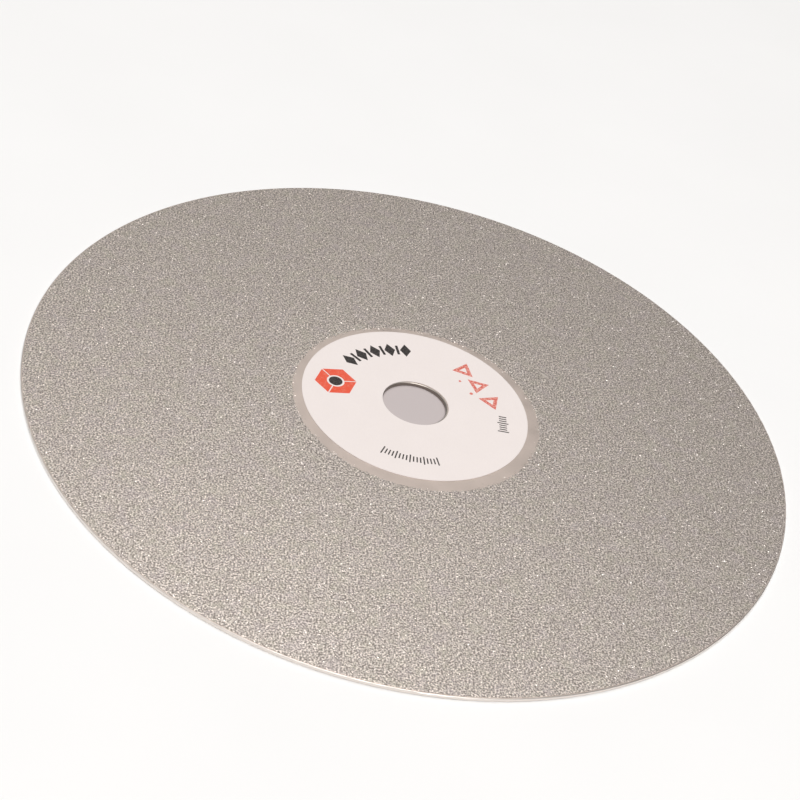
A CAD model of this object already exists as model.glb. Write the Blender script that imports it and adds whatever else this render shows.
"""Diamond flat lap disc: grit-coated working face, label, plated rim, plain floor and studio light."""

import math

import bpy
import numpy as np
from mathutils import Matrix, Vector


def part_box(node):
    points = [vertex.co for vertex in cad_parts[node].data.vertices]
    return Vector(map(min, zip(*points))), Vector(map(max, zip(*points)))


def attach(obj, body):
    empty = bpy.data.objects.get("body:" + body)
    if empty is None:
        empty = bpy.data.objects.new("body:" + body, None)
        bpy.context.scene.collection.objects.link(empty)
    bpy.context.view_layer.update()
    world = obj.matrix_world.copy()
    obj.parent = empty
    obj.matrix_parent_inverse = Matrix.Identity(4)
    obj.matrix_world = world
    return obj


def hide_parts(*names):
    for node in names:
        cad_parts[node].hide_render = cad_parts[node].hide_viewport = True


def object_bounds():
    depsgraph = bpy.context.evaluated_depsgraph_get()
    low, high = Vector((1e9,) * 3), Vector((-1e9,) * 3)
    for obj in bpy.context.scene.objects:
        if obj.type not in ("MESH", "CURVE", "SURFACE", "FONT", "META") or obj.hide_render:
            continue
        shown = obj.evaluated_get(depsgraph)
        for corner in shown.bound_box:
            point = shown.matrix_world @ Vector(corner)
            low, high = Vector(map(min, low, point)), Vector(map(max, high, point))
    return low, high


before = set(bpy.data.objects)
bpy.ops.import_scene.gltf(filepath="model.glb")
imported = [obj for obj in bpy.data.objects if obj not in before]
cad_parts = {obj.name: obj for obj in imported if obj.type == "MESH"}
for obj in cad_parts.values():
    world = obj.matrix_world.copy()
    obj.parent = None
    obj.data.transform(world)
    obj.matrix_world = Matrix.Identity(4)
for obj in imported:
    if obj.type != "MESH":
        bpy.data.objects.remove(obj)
cad_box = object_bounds()

MM = 0.001
SEED = 240
NOISE_RANGE = (0.3, 0.7)

# Grit coat. A triangle of its surface is about one cluster of grains across.
FACET = 0.433 * MM
FACET_JITTER = 0.22
COAT_SPREAD = 0.005 * MM
COAT_EDGE_DROP = 0.012 * MM

# The coat's inner edge: long waves and fine teeth, which stop short of the next ring of points
EDGE_POINTS = 2
EDGE_WAVES = range(3, 30)
EDGE_WOBBLE = 0.05 * MM
EDGE_RAGGEDNESS = 0.16 * MM
EDGE_LIMIT = 0.12 * MM

# Separate crystals that stand out of the coat, and the ones that went astray over its inner edge
CRYSTALS = 48900
EDGE_CRYSTALS = 900
CRYSTAL_STRAY = 0.32 * MM
CRYSTAL_SIZES = (0.06 * MM, 0.20 * MM)
CRYSTAL_STRETCH = (0.7, 1.15)
CRYSTAL_FLATTENING = 0.32
CRYSTAL_RISE = 0.012 * MM
CRYSTAL_CORNERS = np.array([(1, 1, 1), (1, -1, -1), (-1, 1, -1), (-1, -1, 1)]) / math.sqrt(3)
CRYSTAL_FACES = np.array([(0, 1, 2), (0, 2, 3), (0, 3, 1), (1, 3, 2)])

# Kinds of grain: name, colour, metallic, roughness and share of all the grains
CRYSTAL_KINDS = (
    ("crystal_plated", (0.88, 0.83, 0.79), 1.0, 0.28, 0.55),
    ("crystal_clear", (0.75, 0.72, 0.70), 0.0, 0.15, 0.20),
    ("crystal_grey", (0.36, 0.335, 0.31), 0.0, 0.20, 0.17),
    ("crystal_straw", (0.56, 0.53, 0.40), 0.0, 0.15, 0.08),
)
CRYSTAL_IOR = 2.2
CRYSTAL_CLOUD = 0.09 * MM
CRYSTAL_CLOUD_RANGE = (0.32, 0.68)
CRYSTAL_SHADES = (0.82, 1.12)
CRYSTAL_DULLNESS = (1.35, 0.65)

# Nickel of the coat: broad waves of tone, a tone for each cluster, and a few clusters that shine
WAVE_SIZE = 0.33 * MM
CLUSTER_SIZE = 0.28 * MM
CLUSTER_TONES = (-0.11, 0.11)
TONE_RANGE = (0.18, 0.86)
TONE_CURVE = 1.3
SHINING_CLUSTERS = (0.96, 1.0)
TINT_SIZE = 2.6 * MM
TINT_STRENGTH = 0.20
BUMP_SIZE = 0.19 * MM
BUMP_TILT = 0.14

# The wall of the bore is stained dark, and the plating is brightest on the rim
TURNING_LINE = 0.12 * MM
BORE_STAIN_RADII = (6.36 * MM, 6.41 * MM)
RIM_SHINE_RADII = (74.5 * MM, 74.85 * MM)

# The camera looks down on the working face from in front, rolled to the right
CAMERA_TARGET = (-2.92 * MM, 0.13 * MM)
CAMERA_DISTANCE = 345.7 * MM
CAMERA_AZIMUTH = -99.86
CAMERA_ELEVATION = 37.03
CAMERA_ROLL = 16.09
CAMERA_LENS = 80.34
CAMERA_CLIP = 0.01

# Softboxes: name, degrees round from +X, degrees up, distance, size and power
SOFTBOXES = (
    ("high_softbox", 90, 74, 2.0, 1.4, 9.8),
    ("back_softbox", 95, 66, 2.2, 1.2, 8.0),
    ("front_softbox", 270, 60, 2.2, 1.6, 40.4),
)
LIGHT_COLOUR = (1.0, 0.98, 0.96)

# The backdrop is brighter to the camera than the even light that it gives
BACKDROP_COLOUR = (1.0, 0.985, 0.975, 1.0)
BACKDROP_STRENGTH = 0.93
AMBIENT_STRENGTH = 0.11

FLOOR_GAP = 0.03 * MM
FLOOR_RADIUS = 0.9
FLOOR_SIDES = 120
FLOOR_SHADE_RADII = (20 * MM, 75 * MM)

random = np.random.default_rng(SEED)


# ---------------------------------------------------------------- node helpers


class Nodes:
    """A new material's node tree, with a short call for each kind of node that the looks need."""

    def __init__(self, name):
        self.material = bpy.data.materials.new(name)
        self.material.use_nodes = True
        self.tree = self.material.node_tree
        self.shader = self.tree.nodes["Principled BSDF"]
        self.position = self.add("TexCoord").outputs["Object"]

    def put(self, socket, value):
        """Links a socket to the input, or sets the input's own value."""
        if isinstance(value, bpy.types.NodeSocket):
            self.tree.links.new(value, socket)
        else:
            socket.default_value = value

    def add(self, kind, inputs=None, **settings):
        node = self.tree.nodes.new("ShaderNode" + kind)
        for name, value in settings.items():
            setattr(node, name, value)
        for name, value in (inputs or {}).items():
            self.put(node.inputs[name], value)
        return node

    def set(self, **inputs):
        for name, value in inputs.items():
            self.put(self.shader.inputs[name.replace("_", " ")], value)

    def noise(self, size, detail=3.0, position=None, dimensions="3D"):
        """Noise about 0.5 with features of about this size in metres."""
        inputs = {"Vector": position or self.position, "Scale": 1 / size, "Detail": detail}
        return self.add("TexNoise", inputs, noise_dimensions=dimensions).outputs["Fac"]

    def turning_lines(self, size):
        """Noise about 0.5 in circles round the spin axis."""
        inputs = {"W": self.radius(), "Scale": 1 / size, "Detail": 3.0}
        return self.add("TexNoise", inputs, noise_dimensions="1D").outputs["Fac"]

    def cells(self, size):
        """A random colour for each cell of about this size in metres, the same at every height."""
        inputs = {"Vector": self.position, "Scale": 1 / size}
        return self.add("TexVoronoi", inputs, voronoi_dimensions="2D").outputs["Color"]

    def maths(self, operation, a, b=0.0):
        node = self.add("Math", operation=operation)
        self.put(node.inputs[0], a)
        self.put(node.inputs[1], b)
        return node.outputs[0]

    def vector(self, operation, a, b):
        node = self.add("VectorMath", operation=operation)
        self.put(node.inputs[0], a)
        self.put(node.inputs[1], b)
        return node.outputs[0]

    def length(self, a):
        return self.add("VectorMath", {0: a}, operation="LENGTH").outputs["Value"]

    def span(self, value, low, high, to_low=0.0, to_high=1.0):
        """low..high becomes to_low..to_high, and what lies past them stays at the ends."""
        inputs = {"Value": value, "From Min": low, "From Max": high}
        inputs.update({"To Min": to_low, "To Max": to_high})
        return self.add("MapRange", inputs).outputs["Result"]

    def spread(self, noise, low, high):
        """Noise about 0.5, spread over low..high."""
        return self.span(noise, *NOISE_RANGE, low, high)

    def mix(self, factor, a, b):
        node = self.add("Mix", data_type="RGBA")
        self.put(node.inputs["Factor"], factor)
        self.put(node.inputs[6], a)
        self.put(node.inputs[7], b)
        return node.outputs[2]

    def separate(self, colour):
        """Three separate random numbers from a random colour."""
        return self.add("SeparateColor", {"Color": colour}).outputs

    def bump(self, height, distance):
        return self.add("Bump", {"Height": height, "Distance": distance, "Strength": 1.0}).outputs[0]

    def tipped(self, size, amount):
        """The surface's normal, tipped a random way by bumps of about this size."""
        bumps = self.add("TexNoise", {"Vector": self.position, "Scale": 1 / size, "Detail": 0.0})
        push = self.vector("SUBTRACT", bumps.outputs["Color"], (0.5, 0.5, 0.5))
        push = self.vector("MULTIPLY", push, (amount,) * 3)
        normal = self.add("NewGeometry").outputs["Normal"]
        return self.vector("NORMALIZE", self.vector("ADD", normal, push), (0.0, 0.0, 0.0))

    def radius(self):
        """Distance from the spin axis, in metres."""
        return self.length(self.vector("MULTIPLY", self.position, (1.0, 1.0, 0.0)))


# ---------------------------------------------------------------- materials


def plated_steel():
    """Ground steel under a thin bright nickel flash: turning lines, soft clouding and a few dull specks."""
    n = Nodes("plated_steel")
    dull, bright = (0.56, 0.52, 0.475, 1.0), (0.70, 0.66, 0.61, 1.0)
    speck, stain, shine = (0.30, 0.25, 0.20, 1.0), (0.27, 0.235, 0.21, 1.0), (0.80, 0.745, 0.70, 1.0)
    lines = n.turning_lines(TURNING_LINE)
    colour = n.mix(n.noise(11 * MM, 4.0), dull, bright)
    colour = n.mix(n.span(n.noise(0.9 * MM, 5.0), 0.66, 0.74), colour, speck)
    colour = n.mix(n.span(n.radius(), *BORE_STAIN_RADII, 1.0, 0.0), colour, stain)
    colour = n.mix(n.span(n.radius(), *RIM_SHINE_RADII), colour, shine)
    n.set(Base_Color=colour, Metallic=0.9)
    n.set(Roughness=n.spread(lines, 0.26, 0.44))
    n.set(Normal=n.bump(lines, 0.006 * MM))
    return n.material


def satin_nickel():
    """Matte plated nickel: even, warm and slightly orange-peeled, with faint clouding."""
    n = Nodes("satin_nickel")
    dull, bright = (0.61, 0.525, 0.475, 1.0), (0.71, 0.615, 0.56, 1.0)
    clouds = n.noise(5 * MM)
    n.set(Base_Color=n.mix(clouds, dull, bright), Metallic=0.75)
    n.set(Roughness=n.spread(clouds, 0.42, 0.54))
    n.set(Normal=n.bump(n.noise(0.35 * MM, 4.0), 0.01 * MM))
    return n.material


def bond_nickel():
    """Nickel grown over clusters of grains: every cluster has its own tilt, tone and gloss."""
    n = Nodes("bond_nickel")
    dark, light = (0.27, 0.239, 0.216, 1.0), (1.0, 0.905, 0.835, 1.0)
    straw, mauve = (0.58, 0.57, 0.44, 1.0), (0.56, 0.48, 0.52, 1.0)
    own = n.separate(n.cells(CLUSTER_SIZE))
    waves = n.noise(WAVE_SIZE, 0.0, dimensions="2D")
    tone = n.maths("ADD", waves, n.span(own[0], 0.0, 1.0, *CLUSTER_TONES))
    tone = n.maths("POWER", n.span(tone, *TONE_RANGE), TONE_CURVE)
    tone = n.maths("MAXIMUM", tone, n.span(own[1], *SHINING_CLUSTERS))
    tint = n.noise(TINT_SIZE, 2.0)
    colour = n.mix(tone, dark, light)
    colour = n.mix(n.span(tint, 0.54, 0.70, 0.0, TINT_STRENGTH), colour, straw)
    colour = n.mix(n.span(tint, 0.46, 0.30, 0.0, TINT_STRENGTH), colour, mauve)
    n.set(Base_Color=colour, Metallic=0.8)
    n.set(Roughness=n.span(tone, 0.0, 1.0, 0.52, 0.42))
    n.set(Normal=n.tipped(BUMP_SIZE, BUMP_TILT))
    return n.material


def crystal(name, colour, metallic, roughness):
    """One kind of grain, bare or under a skin of nickel: cloudy, and duller where it is dark."""
    n = Nodes(name)
    clouds = n.span(n.noise(CRYSTAL_CLOUD, 2.0), *CRYSTAL_CLOUD_RANGE)
    dark, light = ([part * shade for part in colour] + [1.0] for shade in CRYSTAL_SHADES)
    dull, glossy = (roughness * factor for factor in CRYSTAL_DULLNESS)
    n.set(Base_Color=n.mix(clouds, dark, light), Metallic=metallic, IOR=CRYSTAL_IOR)
    n.set(Roughness=n.span(clouds, 0.0, 1.0, dull, glossy))
    return n.material


def label_glue():
    """Clear-yellow glue under the label, a little dirty."""
    n = Nodes("label_glue")
    dirty, clean = (0.66, 0.59, 0.50, 1.0), (0.80, 0.75, 0.67, 1.0)
    dirt = n.noise(0.6 * MM, 4.0)
    n.set(Base_Color=n.mix(dirt, dirty, clean))
    n.set(Roughness=n.spread(dirt, 0.30, 0.5))
    return n.material


def label_paper():
    """Off-white coated paper: faint fibre clouding and a slight tooth."""
    n = Nodes("label_paper")
    warm, pale, fibre = (0.82, 0.755, 0.735, 1.0), (0.86, 0.795, 0.775, 1.0), (0.80, 0.735, 0.715, 1.0)
    fibres = n.noise(0.25 * MM, 5.0, n.vector("MULTIPLY", n.position, (1.0, 0.35, 1.0)))
    colour = n.mix(n.noise(6 * MM), warm, pale)
    n.set(Base_Color=n.mix(n.span(fibres, 0.35, 0.75, 0.0, 0.35), colour, fibre))
    n.set(Roughness=n.spread(fibres, 0.48, 0.62))
    n.set(Normal=n.bump(fibres, 0.006 * MM))
    return n.material


def ink(name, solid, thin, cover, size):
    """Printing ink: solid where it took, thin where the paper shows through. cover is how much took."""
    n = Nodes(name)
    took = n.span(n.noise(size, 5.0), 0.55 - cover * 0.3, 0.62 - cover * 0.1)
    n.set(Base_Color=n.mix(took, thin, solid))
    n.set(Roughness=n.span(took, 0.0, 1.0, 0.6, 0.42))
    n.set(Normal=n.bump(took, 0.004 * MM))
    return n.material


def floor_paint():
    """Plain pale studio floor, a little greyer under the disc, where the disc's own shade falls."""
    n = Nodes("floor_paint")
    shaded, lit = (0.54, 0.485, 0.485, 1.0), (0.92, 0.925, 0.93, 1.0)
    grain = n.spread(n.noise(40 * MM, 2.0), 0.985, 1.0)
    grey = n.add("CombineXYZ", {0: grain, 1: grain, 2: grain}).outputs[0]
    colour = n.mix(n.span(n.radius(), *FLOOR_SHADE_RADII), shaded, lit)
    n.set(Base_Color=n.vector("MULTIPLY", colour, grey), Roughness=0.75)
    return n.material


def dress(node, material):
    """Gives a CAD node its material."""
    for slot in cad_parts[node].material_slots:
        slot.link = "OBJECT"
        slot.material = material


# ---------------------------------------------------------------- grit coat


def circle(x, y, radius, z, count, phase):
    """Points on a circle, as rows of x, y, z."""
    turn = 2 * math.pi * (np.arange(count) + phase) / count
    return np.stack([x + radius * np.cos(turn), y + radius * np.sin(turn), np.full(count, z)], 1)


def zip_rings(first, first_phase, second, second_phase):
    """Triangles between two rings of points, as places in the first ring, and in the second after it.

    An edge of one ring is joined to the point of the other that the edges before it lead to. Where the
    middles of two edges are level, the first ring's edge comes first.
    """
    first_mid = (np.arange(first) + first_phase + 0.5) / first
    second_mid = (np.arange(second) + second_phase + 0.5) / second
    a = np.arange(first)
    facing = np.searchsorted(second_mid, first_mid) % second
    inner = np.stack([a, facing + first, (a + 1) % first], 1)
    b = np.arange(second)
    facing = np.searchsorted(first_mid, second_mid, side="right") % first
    outer = np.stack([facing, b + first, (b + 1) % second + first], 1)
    return np.concatenate([inner, outer])


def new_mesh(name, points, triangles):
    mesh = bpy.data.meshes.new(name)
    mesh.vertices.add(len(points))
    mesh.vertices.foreach_set("co", points.astype(np.float32).ravel())
    mesh.loops.add(triangles.size)
    mesh.loops.foreach_set("vertex_index", triangles.astype(np.int32).ravel())
    mesh.polygons.add(len(triangles))
    mesh.polygons.foreach_set("loop_start", np.arange(0, triangles.size, 3, dtype=np.int32))
    mesh.update(calc_edges=True)
    mesh.validate()
    mesh.shade_flat()
    piece = bpy.data.objects.new(name, mesh)
    bpy.context.collection.objects.link(piece)
    return piece


def node_points(node):
    """A CAD node's mesh points, as rows of x, y, z."""
    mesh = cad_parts[node].data
    points = np.empty(len(mesh.vertices) * 3)
    mesh.vertices.foreach_get("co", points)
    return points.reshape(-1, 3)


def coat_height():
    """The middle of the coat's rough top: halfway between the tops of the bond and the grit."""
    return (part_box("nickel_bond_coat")[1].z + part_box("diamond_grit")[1].z) / 2


def coat_outline():
    """The coat's outer radius, and the x, y and radius of the round patch that has no grit."""
    points = node_points("nickel_bond_coat")[:, :2]
    distance = np.hypot(*points.T)
    hole = points[distance < distance.max() / 2]
    x, y = (hole.min(0) + hole.max(0)) / 2
    return distance.max(), x, y, np.hypot(hole[:, 0] - x, hole[:, 1] - y).max()


def ragged_edge(count, radius):
    """How much further out each point of the coat's inner edge is, as a factor: long waves and fine teeth."""
    turn = 2 * math.pi * np.arange(count) / count
    waves = sum(np.sin(k * turn + random.uniform(0, 2 * math.pi)) for k in EDGE_WAVES)
    waves *= EDGE_WOBBLE / math.sqrt(len(EDGE_WAVES) / 2)
    out = np.minimum(waves + random.normal(0, EDGE_RAGGEDNESS, count), EDGE_LIMIT)
    return 1 + out / radius


def coat_rings():
    """The coat's top as rings of jittered points from its inner edge out, and the phase of each ring."""
    outer_radius, mask_x, mask_y, mask_radius = coat_outline()
    last = round((outer_radius - mask_radius) / (FACET * math.sqrt(3) / 2))
    rings, phases = [], []
    for i in range(last + 1):
        share = i / last
        radius = mask_radius + (outer_radius - mask_radius) * share
        count = round(2 * math.pi * radius / FACET) * (EDGE_POINTS if i == 0 else 1)
        phase = 0.5 * (i % 2)
        ring = circle(mask_x * (1 - share), mask_y * (1 - share), radius, coat_height(), count, phase)
        if 0 < i < last:
            ring[:, :2] += random.uniform(-1, 1, (count, 2)) * FACET * FACET_JITTER
            ring[:, 2] += random.uniform(-1, 1, count) * COAT_SPREAD
        else:
            ring[:, 2] -= COAT_EDGE_DROP
        if i == 0:
            centre = (mask_x, mask_y)
            ring[:, :2] = centre + (ring[:, :2] - centre) * ragged_edge(count, mask_radius)[:, None]
        rings.append(ring)
        phases.append(phase)
    return rings, phases


def wall(upper, lower):
    """Triangles between two rings of as many points each."""
    next_upper, next_lower = np.roll(upper, -1), np.roll(lower, -1)
    near = np.stack([upper, next_upper, lower], 1)
    far = np.stack([next_upper, next_lower, lower], 1)
    return np.concatenate([near, far])


def coat_triangles(sizes, phases):
    """Triangles of the closed coat: its top, its underside and the two walls between them.

    The points are the top's rings from the inner edge out, then the underside's inner and outer edge.
    """
    starts = np.concatenate([[0], np.cumsum(sizes)])
    steps = zip(starts, sizes, phases, sizes[1:], phases[1:])
    top = [zip_rings(*ring_pair) + start for start, *ring_pair in steps]
    inner, outer = np.arange(sizes[0]), np.arange(sizes[-1])
    under_inner, under_outer = starts[-1], starts[-1] + sizes[0]
    underside = zip_rings(sizes[0], phases[0], sizes[-1], phases[-1])[:, ::-1] + under_inner
    inner_wall = wall(inner, inner + under_inner)
    outer_wall = wall(outer + under_outer, outer + starts[-2])
    return np.concatenate([*top, underside, inner_wall, outer_wall])


def make_coat():
    """The grit coat: a rough top, closed by two walls and a flat underside."""
    rings, phases = coat_rings()
    underside = np.concatenate([rings[0], rings[-1]])
    underside[:, 2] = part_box("nickel_bond_coat")[0].z
    triangles = coat_triangles([len(ring) for ring in rings], phases)
    coat = new_mesh("grit_coat", np.concatenate([*rings, underside]), triangles)
    coat.data.materials.append(bond_nickel())
    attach(coat, "root")
    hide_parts("nickel_bond_coat")


# ---------------------------------------------------------------- crystals


def random_turns(count):
    """Random rotation matrices from unit quaternions."""
    q = random.normal(0, 1, (count, 4))
    w, x, y, z = (q / np.linalg.norm(q, axis=1, keepdims=True)).T
    rows = [
        [1 - 2 * (y * y + z * z), 2 * (x * y - w * z), 2 * (x * z + w * y)],
        [2 * (x * y + w * z), 1 - 2 * (x * x + z * z), 2 * (y * z - w * x)],
        [2 * (x * z - w * y), 2 * (y * z + w * x), 1 - 2 * (x * x + y * y)],
    ]
    return np.array(rows).transpose(2, 0, 1)


def crystal_places():
    """Where the grains stand: all over the coat, and scattered across its inner edge."""
    outer_radius, mask_x, mask_y, mask_radius = coat_outline()
    reach = outer_radius - CRYSTAL_SIZES[1]
    places = random.uniform(-reach, reach, (CRYSTALS * 2, 2))
    from_mask = np.hypot(places[:, 0] - mask_x, places[:, 1] - mask_y) - mask_radius
    kept = (np.hypot(*places.T) < reach) & (from_mask > 0)
    places = places[kept][:CRYSTALS]
    turn = random.uniform(0, 2 * math.pi, EDGE_CRYSTALS)
    away = random.normal(0, CRYSTAL_STRAY, EDGE_CRYSTALS)
    stray = np.stack([np.cos(turn), np.sin(turn)], 1) * (mask_radius + away)[:, None] + (mask_x, mask_y)
    return np.concatenate([places, stray]), np.concatenate([from_mask[kept][:CRYSTALS], away])


def crystal_corners(places, seat):
    """The four corners of each grain: its own size, proportions and tilt, flattened, half sunk at its seat."""
    count = len(places)
    low, high = CRYSTAL_SIZES
    size = low + (high - low) * random.uniform(0, 1, (count, 1, 1)) ** 2
    corners = CRYSTAL_CORNERS[None] * size * random.uniform(*CRYSTAL_STRETCH, (count, 4, 1))
    corners = np.einsum("nij,nkj->nki", random_turns(count), corners)
    corners[..., 2] *= CRYSTAL_FLATTENING
    corners[..., :2] += places[:, None]
    corners[..., 2] += (seat + random.uniform(0, CRYSTAL_RISE, count))[:, None]
    return corners


def make_crystals():
    """Sharp four-sided grains on the coat, and on the bare nickel where they went astray."""
    places, from_mask = crystal_places()
    count = len(places)
    seat = np.where(from_mask > 0, coat_height(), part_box("nickel_strike_coat")[1].z)
    corners = crystal_corners(places, seat)
    triangles = CRYSTAL_FACES[None] + len(CRYSTAL_CORNERS) * np.arange(count)[:, None, None]
    grains = new_mesh("grit_crystals", corners.reshape(-1, 3), triangles.reshape(-1, 3))
    for *look, _ in CRYSTAL_KINDS:
        grains.data.materials.append(crystal(*look))
    shares = [share for *_, share in CRYSTAL_KINDS]
    choice = random.choice(len(CRYSTAL_KINDS), count, p=shares)
    kind_of_face = np.repeat(choice, len(CRYSTAL_FACES)).astype(np.int32)
    grains.data.polygons.foreach_set("material_index", kind_of_face)
    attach(grains, "root")
    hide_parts("diamond_grit")


# ---------------------------------------------------------------- stage


def make_floor():
    """A round pale floor a hair under the disc's back face, so that the two don't lie in one plane."""
    height = cad_box[0].z - FLOOR_GAP
    points = np.concatenate([circle(0, 0, FLOOR_RADIUS, height, FLOOR_SIDES, 0), [(0, 0, height)]])
    side = np.arange(FLOOR_SIDES)
    triangles = np.stack([side, (side + 1) % FLOOR_SIDES, np.full(FLOOR_SIDES, FLOOR_SIDES)], 1)
    floor = new_mesh("floor", points, triangles)
    floor.data.materials.append(floor_paint())


def direction(azimuth, elevation):
    """A unit vector, from degrees round from +X and up from the floor."""
    azimuth, elevation = math.radians(azimuth), math.radians(elevation)
    level = math.cos(elevation)
    return Vector((level * math.cos(azimuth), level * math.sin(azimuth), math.sin(elevation)))


def make_light(name, azimuth, elevation, distance, size, power):
    """A soft square light that faces the disc."""
    lamp = bpy.data.lights.new(name, "AREA")
    lamp.size = size
    lamp.energy = power
    lamp.color = LIGHT_COLOUR
    holder = bpy.data.objects.new(name, lamp)
    bpy.context.collection.objects.link(holder)
    toward = direction(azimuth, elevation)
    holder.location = toward * distance
    holder.rotation_mode = "QUATERNION"
    holder.rotation_quaternion = (-toward).to_track_quat("-Z", "Y")


def make_studio():
    """Large softboxes behind and in front, high up, with a white backdrop and even light all round."""
    for softbox in SOFTBOXES:
        make_light(*softbox)
    world = bpy.data.worlds.new("studio")
    world.use_nodes = True
    tree = world.node_tree
    backdrop = tree.nodes["Background"]
    backdrop.inputs["Color"].default_value = BACKDROP_COLOUR
    seen = tree.nodes.new("ShaderNodeMapRange")
    seen.inputs["To Min"].default_value = AMBIENT_STRENGTH
    seen.inputs["To Max"].default_value = BACKDROP_STRENGTH
    path = tree.nodes.new("ShaderNodeLightPath")
    tree.links.new(path.outputs["Is Camera Ray"], seen.inputs["Value"])
    tree.links.new(seen.outputs["Result"], backdrop.inputs["Strength"])
    bpy.context.scene.world = world
    bpy.context.scene.view_settings.view_transform = "Standard"


def make_camera():
    """Set by the point it looks at, its distance, its two angles and its roll."""
    target = Vector((*CAMERA_TARGET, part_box("diamond_grit")[1].z))
    back = direction(CAMERA_AZIMUTH, CAMERA_ELEVATION)
    camera = bpy.data.objects.new("camera", bpy.data.cameras.new("camera"))
    bpy.context.collection.objects.link(camera)
    camera.data.lens = CAMERA_LENS
    camera.data.clip_start = CAMERA_CLIP
    level = (-back).to_track_quat("-Z", "Y").to_matrix().to_4x4()
    roll = Matrix.Rotation(math.radians(CAMERA_ROLL), 4, "Z")
    camera.matrix_world = Matrix.Translation(target + back * CAMERA_DISTANCE) @ level @ roll
    bpy.context.scene.camera = camera


# ---------------------------------------------------------------- the disc


black_ink = ink("black_ink", (0.018, 0.015, 0.014, 1.0), (0.13, 0.115, 0.11, 1.0), 1.0, 0.30 * MM)
orange_ink = ink("orange_ink", (0.80, 0.095, 0.045, 1.0), (0.80, 0.20, 0.13, 1.0), 1.0, 0.35 * MM)
stamp_ink = ink("stamp_ink", (0.66, 0.125, 0.095, 1.0), (0.78, 0.38, 0.32, 1.0), 0.50, 0.45 * MM)

dress("steel_disc", plated_steel())
dress("nickel_strike_coat", satin_nickel())
dress("label_adhesive", label_glue())
dress("label_paper", label_paper())
dress("name_band_ink", black_ink)
dress("emblem_tile_ink", orange_ink)
dress("emblem_centre_ink", black_ink)
dress("lower_caption_ink", black_ink)
dress("side_caption_ink", black_ink)
dress("grade_stamp_ink", stamp_ink)
make_coat()
make_crystals()
make_floor()
make_studio()
make_camera()
